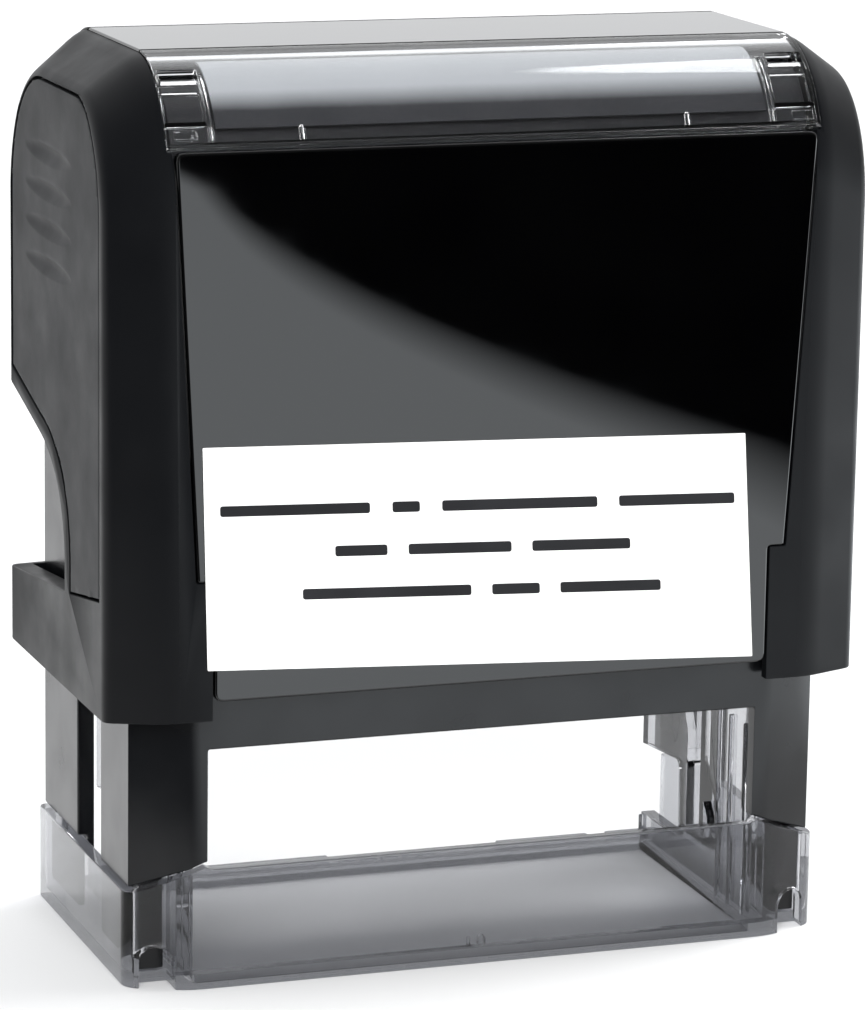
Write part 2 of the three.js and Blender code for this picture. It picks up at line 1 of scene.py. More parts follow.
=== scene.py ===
"""A self-inking stamp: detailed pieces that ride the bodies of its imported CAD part, on a pale studio floor.

Lengths are millimetres until a mesh is made, and metres afterwards. +X is right, +Y is the back, +Z is up.
"""

import math

import bmesh
import bpy
from mathutils import Matrix, Vector


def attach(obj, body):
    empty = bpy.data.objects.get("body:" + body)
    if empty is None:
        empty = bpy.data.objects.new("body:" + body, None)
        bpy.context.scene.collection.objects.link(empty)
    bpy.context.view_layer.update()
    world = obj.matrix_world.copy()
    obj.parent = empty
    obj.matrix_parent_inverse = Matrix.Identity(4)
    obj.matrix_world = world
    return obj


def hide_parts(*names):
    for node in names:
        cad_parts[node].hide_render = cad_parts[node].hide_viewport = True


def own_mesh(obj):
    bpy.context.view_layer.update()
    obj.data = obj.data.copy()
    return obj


MM = 0.001

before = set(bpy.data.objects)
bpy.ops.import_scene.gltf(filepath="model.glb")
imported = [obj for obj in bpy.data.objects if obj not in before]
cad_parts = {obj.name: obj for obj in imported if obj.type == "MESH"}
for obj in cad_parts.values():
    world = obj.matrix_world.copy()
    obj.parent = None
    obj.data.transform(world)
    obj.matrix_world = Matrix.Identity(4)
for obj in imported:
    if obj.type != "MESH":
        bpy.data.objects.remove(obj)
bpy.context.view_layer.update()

# ---------------------------------------------------------------- driving dimensions, as in the CAD part

SEAM = 0.14  # visible gap between outer pieces
HANDLE_TOP = 93.0
HANDLE_BOTTOM = 28.0
HALF_WIDTH = 40.0
SEAM_X = 34.2
SKIN = 1.25
MIDDLE = dict(front=-19.6, rear=20.0, top=HANDLE_TOP, front_round=(11.2, 13.6), rear_round=(10.5, 13.0))
OUTER = dict(front=-17.4, rear=18.9, top=88.9, front_round=(9.0, 12.5), rear_round=(12.5, 13.5))
PANEL_BOTTOM, PANEL_TOP = 29.9, 84.3
PANEL_STEP_Z = 42.0
PANEL_LOWER_HALF = 29.3
TOP_FRONT, TOP_REAR = -8.9, 9.6
REAR_SKIN_BOTTOM = 79.6
PANEL_EDGE_LOW, PANEL_EDGE_SPREAD = 30.4, 3.0  # half width at the panel's foot, and its gain upwards

# Cutting tools reach past the handle, to these distances
PAST_SIDE, PAST_DEPTH, PAST_TOP = 50, 30, 100


# ---------------------------------------------------------------- mesh helpers


def mesh_object(name, vertices, faces, material):
    """A mesh from points in millimetres."""
    mesh = bpy.data.meshes.new(name)
    mesh.from_pydata([Vector(v) * MM for v in vertices], [], faces)
    mesh.validate()
    obj = bpy.data.objects.new(name, mesh)
    bpy.context.scene.collection.objects.link(obj)
    mesh.materials.append(material)
    return obj


def face_outwards(obj):
    bm = bmesh.new()
    bm.from_mesh(obj.data)
    bmesh.ops.recalc_face_normals(bm, faces=bm.faces)
    bm.to_mesh(obj.data)
    bm.free()
    return obj


def prism(name, axis, points, low, high, material):
    """An outline extruded along X, Y or Z; the outline's two coordinates follow the axis order."""
    places = {
        "X": lambda a, u, v: (a, u, v),
        "Y": lambda a, u, v: (u, a, v),
        "Z": lambda a, u, v: (u, v, a),
    }
    place = places[axis]
    count = len(points)
    vertices = [place(low, u, v) for u, v in points] + [place(high, u, v) for u, v in points]
    sides = [(i, (i + 1) % count, (i + 1) % count + count, i + count) for i in range(count)]
    caps = [tuple(range(count)), tuple(range(count, 2 * count))]
    return face_outwards(mesh_object(name, vertices, sides + caps, material))


def box(name, x0, x1, y0, y1, z0, z1, material):
    return prism(name, "Z", [(x0, y0), (x1, y0), (x1, y1), (x0, y1)], z0, z1, material)


def loft_x(name, stations, material):
    """A closed skin through rings of (y, z) points, each at its own x."""
    count = len(stations[0][1])
    vertices = [(x, y, z) for x, ring in stations for y, z in ring]
    faces = []
    for s in range(len(stations) - 1):
        for i in range(count):
            a, b = s * count + i, s * count + (i + 1) % count
            faces.append((a, b, b + count, a + count))
    last = (len(stations) - 1) * count
    faces += [tuple(range(count)), tuple(range(last, last + count))]
    return face_outwards(mesh_object(name, vertices, faces, material))


def apply_modifiers(obj):
    """The evaluated mesh becomes the object's own mesh."""
    bpy.context.view_layer.update()
    evaluated = obj.evaluated_get(bpy.context.evaluated_depsgraph_get())
    mesh = bpy.data.meshes.new_from_object(evaluated)
    obj.modifiers.clear()
    obj.data = mesh
    return obj


def boolean(obj, tools, operation="DIFFERENCE"):
    for tool in tools:
        modifier = obj.modifiers.new("boolean", "BOOLEAN")
        modifier.operation = operation
        modifier.solver = "EXACT"
        modifier.object = tool
    apply_modifiers(obj)
    for tool in tools:
        bpy.data.objects.remove(tool)
    return obj


def clean(obj, merge=0.01, flat=0.0):
    """Joins near points, and dissolves the edges between faces that differ by less than flat degrees."""
    bm = bmesh.new()
    bm.from_mesh(obj.data)
    bmesh.ops.remove_doubles(bm, verts=bm.verts, dist=merge * MM)
    bmesh.ops.dissolve_degenerate(bm, edges=bm.edges, dist=merge * MM)
    if flat:
        bmesh.ops.dissolve_limit(
            bm, angle_limit=math.radians(flat), verts=bm.verts, edges=bm.edges, delimit={"MATERIAL"}
        )
    bm.to_mesh(obj.data)
    bm.free()
    return obj


def finish_edges(obj, width, segments=2, angle=38.0):
    """Rounded edges and smooth shading between them."""
    if width:
        modifier = obj.modifiers.new("rounded edges", "BEVEL")
        modifier.width = width * MM
        modifier.segments = segments
        modifier.limit_method = "ANGLE"
        modifier.angle_limit = math.radians(angle)
        modifier.use_clamp_overlap = False
        modifier.miter_outer = "MITER_ARC"
        apply_modifiers(obj)
    for polygon in obj.data.polygons:
        polygon.use_smooth = True
    obj.data.set_sharp_from_angle(angle=math.radians(angle))
    weighted = obj.modifiers.new("weighted normals", "WEIGHTED_NORMAL")
    weighted.keep_sharp = True
    weighted.weight = 90
    return apply_modifiers(obj)


def mirror_copy(obj, name):
    """The same piece on the -X side."""
    mesh = obj.data.copy()
    mesh.transform(Matrix.Scale(-1, 4, (1, 0, 0)))
    mesh.flip_normals()
    twin = bpy.data.objects.new(name, mesh)
    bpy.context.scene.collection.objects.link(twin)
    return twin


def place(obj, body, slot, *nodes):
    """Gives a piece its body, and hides the CAD nodes that it stands for. The slot is not used."""
    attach(obj, body)
    if nodes:
        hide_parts(*nodes)
    return obj


def cad_shape(name, node, material):
    """A piece with the shape of a CAD node."""
    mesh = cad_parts[node].data.copy()
    mesh.materials.clear()
    mesh.materials.append(material)
    obj = bpy.data.objects.new(name, mesh)
    bpy.context.scene.collection.objects.link(obj)
    return clean(obj)


def refined(name, node, body, slot, material, width, segments=2):
    """The CAD node's shape with rounded edges."""
    obj = finish_edges(cad_shape(name, node, material), width, segments)
    return place(obj, body, slot, node)


# ---------------------------------------------------------------- outlines


def quarter_arc(cy, cz, w, h, start, end, steps):
    """Part of an ellipse from start to end, which are counted in quarter turns."""
    points = []
    for i in range(steps + 1):
        angle = (start + (end - start) * i / steps) * math.pi / 2
        points.append((cy + w * math.cos(angle), cz + h * math.sin(angle)))
    return points


def blended(share):
    """The outline at a share of the way from the handle's middle to the arm's outer face."""

    def mix(a, b):
        return a + (b - a) * share

    outline = {key: mix(MIDDLE[key], OUTER[key]) for key in ("front", "rear", "top")}
    for key in ("front_round", "rear_round"):
        outline[key] = tuple(mix(a, b) for a, b in zip(MIDDLE[key], OUTER[key]))
    return outline


def handle_ring(outline, inset=0.0, bottom=HANDLE_BOTTOM, steps=22):
    """Side outline of the handle, (y, z) points."""
    front, rear, top = outline["front"], outline["rear"], outline["top"]
    front_w, front_h = outline["front_round"]
    rear_w, rear_h = outline["rear_round"]
    rear_arc = quarter_arc(rear - rear_w, top - rear_h, rear_w - inset, rear_h - inset, 0, 1, steps)
    front_arc = quarter_arc(front + front_w, top - front_h, front_w - inset, front_h - inset, 1, 2, steps)
    return [(front + inset, bottom), (rear - inset, bottom), *rear_arc, *front_arc]


def bent(a, b, c, steps):
    """Points of a rounded corner at b, from a to c."""
    points = []
    for i in range(steps + 1):
        t = i / steps
        weights = ((1 - t) ** 2, 2 * t * (1 - t), t * t)
        points.append(tuple(sum(w * p[k] for w, p in zip(weights, (a, b, c))) for k in range(len(a))))
    return points


def rounded_polygon(points, radii, steps=6):
    """The outline with each corner rounded by its own radius."""
    result = []
    count = len(points)
    for i, (corner, radius) in enumerate(zip(points, radii)):
        if radius <= 0:
            result.append(corner)
            continue
        before, here, after = Vector(points[i - 1]), Vector(corner), Vector(points[(i + 1) % count])
        a = here + (before - here).normalized() * radius
        c = here + (after - here).normalized() * radius
        result += bent(tuple(a), tuple(here), tuple(c), steps)
    return result


def panel_edge(z):
    """Half width of the front panel at a height."""
    return PANEL_EDGE_LOW + PANEL_EDGE_SPREAD * (z - PANEL_BOTTOM) / (PANEL_TOP - PANEL_BOTTOM)


# ---------------------------------------------------------------- materials


class Nodes:
    """Short names for building one material's node tree."""

    def __init__(self, name):
        self.material = bpy.data.materials.new(name)
        self.material.use_nodes = True
        self.tree = self.material.node_tree
        self.shader = next(n for n in self.tree.nodes if n.type == "BSDF_PRINCIPLED")
        self.place = self.add("ShaderNodeTexCoord").outputs["Object"]

    def add(self, kind, **inputs):
        node = self.tree.nodes.new(kind)
        for key, value in inputs.items():
            node.inputs[key].default_value = value
        return node

    def link(self, a, b):
        self.tree.links.new(a, b)

    def noise(self, scale, detail=3.0, stretch=None):
        node = self.add("ShaderNodeTexNoise", Scale=scale, Detail=detail)
        source = self.place
        if stretch:
            mapping = self.add("ShaderNodeMapping", Scale=stretch)
            self.link(source, mapping.inputs["Vector"])
            source = mapping.outputs["Vector"]
        self.link(source, node.inputs["Vector"])
        return node.outputs["Fac"]

    def ramp(self, factor, low, high, start=0.3, end=0.7):
        node = self.add("ShaderNodeMapRange")
        node.inputs["From Min"].default_value = start
        node.inputs["From Max"].default_value = end
        node.inputs["To Min"].default_value = low
        node.inputs["To Max"].default_value = high
        self.link(factor, node.inputs["Value"])
        return node.outputs["Result"]

    def colours(self, factor, low, high, start=0.3, end=0.7):
        node = self.add("ShaderNodeValToRGB")
        node.color_ramp.elements[0].position = start
        node.color_ramp.elements[1].position = end
        node.color_ramp.elements[0].color = (*low, 1)
        node.color_ramp.elements[1].color = (*high, 1)
        self.link(factor, node.inputs["Fac"])
        return node.outputs["Color"]

    def bump(self, height, strength, distance):
        node = self.add("ShaderNodeBump", Strength=strength, Distance=distance * MM)
        self.link(height, node.inputs["Height"])
        self.link(node.outputs["Normal"], self.shader.inputs["Normal"])

    def let_light_through(self, tint):
        """Lamps and bounced light pass straight through, tinted."""
        through = self.add("ShaderNodeBsdfTransparent", Color=(*tint, 1))
        path = self.add("ShaderNodeLightPath").outputs
        either = self.add("ShaderNodeMath")
        either.operation = "MAXIMUM"
        self.link(path["Is Shadow Ray"], either.inputs[0])
        self.link(path["Is Diffuse Ray"], either.inputs[1])
        mix = self.add("ShaderNodeMixShader")
        self.link(either.outputs["Value"], mix.inputs[0])
        self.link(self.shader.outputs["BSDF"], mix.inputs[1])
        self.link(through.outputs["BSDF"], mix.inputs[2])
        output = next(n for n in self.tree.nodes if n.type == "OUTPUT_MATERIAL")
        self.link(mix.outputs["Shader"], output.inputs["Surface"])

    def math(self, operation, a, b):
        node = self.add("ShaderNodeMath")
        node.operation = operation
        for socket, value in zip(node.inputs, (a, b)):
            if isinstance(value, (int, float)):
                socket.default_value = value
            else:
                self.link(value, socket)
        return node.outputs["Value"]

    def set(self, **inputs):
        for key, value in inputs.items():
            self.shader.inputs[key.replace("_", " ")].default_value = value


def plastic(name, dark, light, rough, grain_scale, grain, specular, spread=0.06):
    """Moulded plastic: faint cloudy tone, moulded grain, and worn patches that shine a little more."""
    n = Nodes(name)
    n.link(n.colours(n.noise(90, 4), dark, light), n.shader.inputs["Base Color"])
    n.link(n.ramp(n.noise(160, 5), rough - spread, rough + spread), n.shader.inputs["Roughness"])
    n.set(Specular_IOR_Level=specular)
    if grain:
        n.bump(n.noise(grain_scale, 2), grain, 0.02)
    return n.material


def clear_plastic(name, tint, rough, ior=1.49):
    """Clear moulded plastic with a slight waviness and faint haze."""
    n = Nodes(name)
    lighter = tuple(min(1.0, c * 1.04) for c in tint)
    n.link(n.colours(n.noise(60, 3), tint, lighter), n.shader.inputs["Base Color"])
    n.link(n.ramp(n.noise(220, 4), rough * 0.5, rough * 1.6), n.shader.inputs["Roughness"])
    n.set(Transmission_Weight=1.0, IOR=ior, Specular_IOR_Level=0.5)
    n.bump(n.noise(120, 2), 0.12, 0.05)
    n.let_light_through(tint)
    return n.material


satin_black = plastic(
    "satin_black", (0.0026, 0.0029, 0.0036), (0.0038, 0.0042, 0.0050), 0.44, 5200, 0.10, 0.14
)
grip_black = plastic(
    "grip_black", (0.0060, 0.0064, 0.0076), (0.0088, 0.0094, 0.0110), 0.54, 4200, 0.25, 0.22
)
frame_black = plastic(
    "frame_black", (0.0030, 0.0033, 0.0040), (0.0044, 0.0048, 0.0057), 0.22, 5200, 0.08, 0.29
)
gloss_black = plastic(
    "gloss_black", (0.0003, 0.0003, 0.0004), (0.0006, 0.0006, 0.0007), 0.022, 0, 0, 0.5, 0.010
)
inner_black = plastic("inner_black", (0.004, 0.004, 0.005), (0.007, 0.007, 0.008), 0.5, 4200, 0.2, 0.25)
card_white = plastic("card_white", (0.80, 0.80, 0.79), (0.86, 0.86, 0.85), 0.75, 9000, 0.15, 0.2)
print_ink = plastic("print_ink", (0.004, 0.004, 0.005), (0.008, 0.008, 0.010), 0.55, 9000, 0.1, 0.3)
ink_felt = plastic("ink_felt", (0.012, 0.014, 0.030), (0.024, 0.027, 0.050), 0.9, 3000, 0.9, 0.2)
foam_grey = plastic("foam_grey", (0.42, 0.40, 0.36), (0.52, 0.50, 0.45), 0.9, 2200, 0.8, 0.2)
plate_rubber = plastic(
    "plate_rubber", (0.24, 0.065, 0.040), (0.30, 0.085, 0.055), 0.62, 4200, 0.25, 0.35
)
window_clear = clear_plastic("window_clear", (0.93, 0.94, 0.95), 0.03)
smoky_clear = clear_plastic("smoky_clear", (0.51, 0.515, 0.535), 0.04, ior=1.33)


def shade_painted_card(name, low, high, dark, light):
    """Card for the index window with painted shade: its tone goes from dark at the height low to light at the
    height high, so it is darker towards the bottom.
    """
    n = Nodes(name)
    split = n.add("ShaderNodeSeparateXYZ")
    n.link(n.place, split.inputs["Vector"])
    height = n.ramp(split.outputs["Z"], 0.0, 1.0, low * MM, high * MM)
    speckle = n.ramp(n.noise(300, 4), -0.008, 0.008)
    n.link(n.colours(n.math("ADD", height, speckle), dark, light), n.shader.inputs["Base Color"])
    n.link(n.ramp(n.noise(160, 5), 0.62, 0.78), n.shader.inputs["Roughness"])
    n.set(Specular_IOR_Level=0.2)
    n.bump(n.noise(9000, 2), 0.15, 0.02)
    return n.material


def brushed_steel(name):
    """Steel with fine lines along X."""
    n = Nodes(name)
    n.link(n.colours(n.noise(300, 4), (0.50, 0.51, 0.53), (0.66, 0.67, 0.69)), n.shader.inputs["Base Color"])
    lines = (0.05, 1, 1)
    n.link(n.ramp(n.noise(2600, 3, lines), 0.22, 0.38), n.shader.inputs["Roughness"])
    n.set(Metallic=1.0)
    n.bump(n.noise(5200, 2, lines), 0.1, 0.01)
    return n.material


steel = brushed_steel("steel")
# Painted shade: the index card is darker towards its bottom edge.
index_card_painted_shade = shade_painted_card(
    "index_card_painted_shade", low=86.2, high=90.4, dark=(0.02, 0.02, 0.022), light=(0.30, 0.305, 0.315)
)

# ---------------------------------------------------------------- arms and grips

# The waist is the notch in the rear of the arm's side: (y, z) points of its front edge, and its other limits.
WAIST_CURVE = [
    (18.5, 55.5),
    (7.6, 52.6),
    (4.2, 51.4),
    (0.7, 49.2),
    (-1.4, 46.4),
    (-2.6, 42.9),
    (-2.8, 38.0),
]
WAIST_REAR, WAIST_LOW, WAIST_HIGH = 22, 35.6, 56.2

ARM_ROOT = 29.0
ARM_INNER_X = 37.7
SEAM_CREASE, OUTER_CREASE = 1.4, 0.9
ROOM_HALF_DEPTH, ROOM_TOP = 18.35, 75.4
ROOM_FACET_X, ROOM_FACET_Y = 32.4, 15.4
BELOW_HANDLE = HANDLE_BOTTOM - 1

GRIP_FRONT, GRIP_REAR, GRIP_TOP = -15.5, 17.6, 88.3
GRIP_FRONT_ROUND, GRIP_REAR_ROUND = (8.5, 12), (11.5, 12.5)
GRIP_GAP = 0.28
POCKET_FLOOR, GRIP_INNER, GRIP_OUTER = 38.9, 39.0, 39.93
DENT_HEIGHTS = (81.2, 77.5, 73.7, 69.9)
DENT_Y, DENT_HALF_LENGTH, DENT_HALF_HEIGHT, DENT_DEPTH = 3.4, 8.8, 1.05, 0.55
DENT_ROUNDNESS = 1.15

# Runs of grid lines over the grip's face, each from, to and apart by: close over the dents, wide around them.
GRIP_Y_RUNS = [(-16.6, -6.6, 0.8), (-6.0, 12.8, 0.28), (13.4, 18.2, 0.8)]
GRIP_Z_RUNS = [(38.0, 67.4, 0.8), (68.0, 83.0, 0.13), (83.6, 89.0, 0.6)]


def smoothed(points, steps=6):
    """A Catmull-Rom curve through the points."""
    padded = [points[0], *points, points[-1]]
    result = []
    for i in range(len(points) - 1):
        p0, p1, p2, p3 = (Vector(p) for p in padded[i : i + 4])
        square = 2 * p0 - 5 * p1 + 4 * p2 - p3
        cube = 3 * p1 - p0 - 3 * p2 + p3
        for s in range(steps):
            t = s / steps
            result.append(tuple(0.5 * (2 * p1 + (p2 - p0) * t + square * t**2 + cube * t**3)))
    return [*result, points[-1]]


def arm_stations():
    """Rings from the middle of the handle to the arm's outer face, with both creases rounded."""
    slope = 1 / (HALF_WIDTH - SEAM_X)
    seam_end = (SEAM_X + SEAM_CREASE, SEAM_CREASE * slope, 0)
    outer_start = (HALF_WIDTH - OUTER_CREASE, 1 - OUTER_CREASE * slope, 0)
    inner = bent((SEAM_X - SEAM_CREASE, 0, 0), (SEAM_X, 0, 0), seam_end, 5)
    outer = bent(outer_start, (HALF_WIDTH, 1, 0), (HALF_WIDTH, 1, OUTER_CREASE), 5)
    profile = [(ARM_ROOT, 0, 0), *inner, *outer]
    return [(x, handle_ring(blended(share), inset)) for x, share, inset in profile]


def grip_outline(margin):
    """(y, z) outline of the soft inlay in the side of each arm, drawn in by margin."""
    front, rear, top = GRIP_FRONT + margin, GRIP_REAR - margin, GRIP_TOP - margin
    front_w, front_h = GRIP_FRONT_ROUND
    rear_w, rear_h = GRIP_REAR_ROUND
    lower = smoothed(
        [
            (-4.9 - margin, 38.4 + margin),
            (-4.8 - margin, 43.2),
            (-3.6 - margin, 47.3),
            (-1.2 - margin, 50.8 + margin),
            (3.1, 53.4 + margin),
            (7.0, 54.5 + margin),
        ],
        4,
    )
    return [
        (front, 40.1 + margin),
        *lower,
        (rear, 57.4 + margin),
        *quarter_arc(rear - rear_w, top - rear_h, rear_w, rear_h, 0, 1, 16),
        *quarter_arc(front + front_w, top - front_h, front_w, front_h, 1, 2, 16),
    ]


def arm_rooms():
    """The hollow inside an arm: one room follows the skin, and a deeper one goes around the lower frame."""
    share = (ARM_INNER_X - SEAM_X) / (HALF_WIDTH - SEAM_X)
    rings = [
        (0, handle_ring(MIDDLE, SKIN, BELOW_HANDLE)),
        (SEAM_X - SEAM_CREASE / 2, handle_ring(MIDDLE, SKIN, BELOW_HANDLE)),
        (ARM_INNER_X, handle_ring(blended(share), SKIN, BELOW_HANDLE)),
    ]
    corners = [
        (ARM_INNER_X, ROOM_HALF_DEPTH),
        (0, ROOM_HALF_DEPTH),
        (0, -ROOM_HALF_DEPTH),
        (ROOM_FACET_X, -ROOM_HALF_DEPTH),
        (ARM_INNER_X, -ROOM_FACET_Y),
    ]
    room = loft_x("room", rings, inner_black)
    return [room, prism("deep room", "Z", corners, BELOW_HANDLE, ROOM_TOP, inner_black)]


def panel_opening():
    """What the front panel takes out of an arm's front."""
    step_half = PANEL_LOWER_HALF + SEAM
    top = PANEL_TOP + 0.01
    edge = [
        (0, BELOW_HANDLE),
        (step_half, BELOW_HANDLE),
        (step_half, PANEL_STEP_Z),
        (panel_edge(PANEL_STEP_Z) + SEAM, PANEL_STEP_Z),
        (panel_edge(PANEL_TOP) + SEAM, top),
        (0, top),
    ]
    return prism("front cut", "Y", edge, -PAST_DEPTH, 0, satin_black)


def make_arm():
    arm = loft_x("arm_shell_right", arm_stations(), satin_black)
    seam_x = SEAM_X - SEAM
    above, outside = HANDLE_TOP + 1, HALF_WIDTH + 1
    notch = [(WAIST_REAR, WAIST_LOW), (WAIST_REAR, WAIST_HIGH), *smoothed(WAIST_CURVE)]
    tools = [
        *arm_rooms(),
        panel_opening(),
        box("seam cut", -1, seam_x, -PAST_DEPTH, PAST_DEPTH, PANEL_TOP, above, satin_black),
        box("rear cut", -1, seam_x, -10, PAST_DEPTH, 0, above, satin_black),
        prism("waist", "X", notch, SEAM_X - 1, outside, satin_black),
        prism("pocket", "X", grip_outline(-GRIP_GAP), POCKET_FLOOR, outside, satin_black),
    ]
    boolean(arm, tools)
    clean(arm, 0.02, 0.2)
    return finish_edges(arm, 0.16, 2, 34)


def dent_depth(y, z):
    """How far the grip's face is pressed in at a place, by the four lens-shaped dents."""
    depth = 0.0
    for dent_z in DENT_HEIGHTS:
        reach = 1 - ((y - DENT_Y) / DENT_HALF_LENGTH) ** 2 - ((z - dent_z) / DENT_HALF_HEIGHT) ** 2
        depth += DENT_DEPTH * max(reach, 0) ** DENT_ROUNDNESS
    return depth


def spaced(low, high, step):
    """Numbers from low to high, about step apart."""
    count = round((high - low) / step)
    return [low + (high - low) * i / count for i in range(count + 1)]


def grip_block():
    """A block whose outer face is a fine grid with the dents pressed in."""
    ys = [y for run in GRIP_Y_RUNS for y in spaced(*run)]
    zs = [z for run in GRIP_Z_RUNS for z in spaced(*run)]
    width, height = len(ys), len(zs)
    vertices = [(GRIP_OUTER - dent_depth(y, z), y, z) for z in zs for y in ys]
    faces = []
    for j in range(height - 1):
        for i in range(width - 1):
            a = j * width + i
            faces.append((a, a + 1, a + 1 + width, a + width))
    rim = list(range(width))
    rim += [j * width + width - 1 for j in range(1, height)]
    rim += [(height - 1) * width + i for i in range(width - 2, -1, -1)]
    rim += [j * width for j in range(height - 2, 0, -1)]
    first = len(vertices)
    vertices += [(GRIP_INNER, vertices[k][1], vertices[k][2]) for k in rim]
    count = len(rim)
    faces += [(rim[k], rim[(k + 1) % count], first + (k + 1) % count, first + k) for k in range(count)]
    faces.append(tuple(range(first, first + count)))
    return face_outwards(mesh_object("grip_inlay_right", vertices, faces, grip_black))


def make_grip():
    """The dented block, trimmed to the grip's outline."""
    grip = grip_block()
    trim = prism("trim", "X", grip_outline(0), GRIP_INNER - 1, GRIP_OUTER + 1, grip_black)
    boolean(grip, [trim], "INTERSECT")
    clean(grip, 0.09)
    return finish_edges(grip, 0.10, 2, 40)


arm_right = make_arm()
arm_left = mirror_copy(arm_right, "arm_shell_left")
grip_right = make_grip()
grip_left = mirror_copy(grip_right, "grip_inlay_left")
place(arm_right, "handle", "satin_black", "arm_right")
place(arm_left, "handle", "satin_black", "arm_left")
place(grip_right, "handle", "grip_black", "grip_right")
place(grip_left, "handle", "grip_black", "grip_left")

# ---------------------------------------------------------------- middle skins of the handle


def middle_part(name, material, y0, y1, bottom):
    """The part of the handle's middle skin between two depths and above a height."""
    keep = box("keep", -PAST_SIDE, PAST_SIDE, y0, y1, bottom, PAST_TOP, material)
    half_x = SEAM_X - SEAM
    outside = handle_ring(MIDDLE, bottom=20, steps=40)
    inside = handle_ring(MIDDLE, SKIN, bottom=10, steps=40)
    skin = prism(name, "X", outside, -half_x, half_x, material)
    room = prism("room", "X", inside, -half_x - 1, half_x + 1, material)
    boolean(skin, [room])
    return boolean(skin, [keep], "INTERSECT")


PANEL_CORNER = 0.9


def make_panel():
    lower, step, upper = PANEL_LOWER_HALF, panel_edge(PANEL_STEP_Z), panel_edge(PANEL_TOP)
    right = [(lower, PANEL_BOTTOM), (lower, PANEL_STEP_Z), (step, PANEL_STEP_Z), (upper, PANEL_TOP)]
    outline = right + [(-x, z) for x, z in reversed(right)]
    radii = [PANEL_CORNER, 0, 0, PANEL_CORNER] * 2
    front = MIDDLE["front"]
    rounded = rounded_polygon(outline, radii, 3)
    panel = prism("gloss_front_panel", "Y", rounded, front, front + SKIN, gloss_black)
    return finish_edges(panel, 0.28, 4, 40)


place(make_panel(), "handle", "gloss_black", "front_panel")

top_plate = middle_part("top_cover", gloss_black, TOP_FRONT, TOP_REAR, bottom=80)
clean(top_plate, 0.01, 0.05)
place(finish_edges(top_plate, 0.22, 3, 34), "handle", "gloss_black", "top_plate")

rear_panel = middle_part("rear_cover", satin_black, TOP_REAR + 2 * SEAM, PAST_DEPTH, REAR_SKIN_BOTTOM)
clean(rear_panel, 0.01, 0.05)
place(finish_edges(rear_panel, 0.2, 3, 34), "handle", "satin_black", "rear_panel")


def arc_block(name, x0, x1, start, end, outer, inner, material, steps=14):
    """Part of a shell along the handle's front round, between two angles in degrees and two depths."""
    w, h = MIDDLE["front_round"]
    cy, cz = MIDDLE["front"] + w, HANDLE_TOP - h
    turns = (2 - start / 90, 2 - end / 90)
    over = quarter_arc(cy, cz, w - outer, h - outer, *turns, steps)
    under = quarter_arc(cy, cz, w - inner, h - inner, *reversed(turns), steps)
    return prism(name, "X", over + under, x0, x1, material)


# On each end of the window: name, nearest and farthest x, two angles, and two depths below the skin.
WINDOW_SLOT = ("slot", 29.8, 33.6, 56, 63, -1, 3)
WINDOW_ADDED = [
    ("clip", 29.8, 33.6, 34, 52, 1.0, 1.85),
    ("rib", 29.1, 29.5, 26, 64, 1.0, 1.8),
    ("pad", 31.0, 33.3, 26, 30, -0.14, 0.3),
    ("stop", 19.9, 20.3, 26, 33, 1.0, 1.7),
]
SILL_HALF, SILL_ARC, SILL_DEPTHS = 33.9, (23.6, 25.4), (1.0, 1.8)
INDEX_HALF, INDEX_ARC, INDEX_DEPTHS = 28.7, (33, 83), (1.5, 1.7)


def window_detail(side, name, near, far, *arc):
    """One of the shapes above, on the side +1 or -1."""
    return arc_block(name, *sorted((side * near, side * far)), *arc, window_clear)


def make_window():
    window = middle_part(
        "index_window_shell", window_clear, -PAST_DEPTH, TOP_FRONT - 2 * SEAM, PANEL_TOP + 2 * SEAM
    )
    slots = [window_detail(side, *WINDOW_SLOT) for side in (-1, 1)]
    added = [window_detail(side, *detail) for side in (-1, 1) for detail in WINDOW_ADDED]
    added.append(arc_block("sill", -SILL_HALF, SILL_HALF, *SILL_ARC, *SILL_DEPTHS, window_clear))
    boolean(window, slots)
    boolean(window, added, "UNION")
    clean(window, 0.01, 0.05)
    return finish_edges(window, 0.13, 3, 34)


place(make_window(), "window", "window_clear", "index_window")
card = arc_block("index_card_sheet", -INDEX_HALF, INDEX_HALF, *INDEX_ARC, *INDEX_DEPTHS, index_card_painted_shade, 24)
place(finish_edges(card, 0), "handle", "white_card", "index_card")

# ---------------------------------------------------------------- label

LABEL_CORNERS = [(-30.08, 33.20), (27.82, 30.63), (26.32, 53.91), (-30.69, 55.52)]
LABEL_Y = MIDDLE["front"] - 0.02
LABEL_THICKNESS, LABEL_CORNER = 0.14, 0.12

# Plain bars stand for three centred lines of an imprint: height on the label, ends, and relative bar lengths.
LINES = [
    (0.715, 0.028, 0.975, (8.6, 1.6, 9.2, 7.0)),
    (0.525, 0.232, 0.775, (3.2, 6.4, 6.2)),
    (0.335, 0.172, 0.830, (10.4, 3.0, 6.4)),
]
BAR_HALF, BAR_GAP = 0.024, 1.3
BAR_THICKNESS, BAR_CORNER = 0.015, 0.3


def on_label(u, v):
    """(x, z) of a place on the label; u and v go from 0 to 1 to the right and up."""
    a, b, c, d = (Vector(corner) for corner in LABEL_CORNERS)
    return tuple((a * (1 - u) + b * u) * (1 - v) + (d * (1 - u) + c * u) * v)


def label_patch(name, ends, heights, y, thickness, material, corner):
    """A patch between two shares of the label's length and two of its height; its back is at y."""
    outline = [on_label(ends[i], heights[j]) for i, j in ((0, 0), (1, 0), (1, 1), (0, 1))]
    return prism(name, "Y", rounded_polygon(outline, [corner] * 4, 5), y - thickness, y, material)


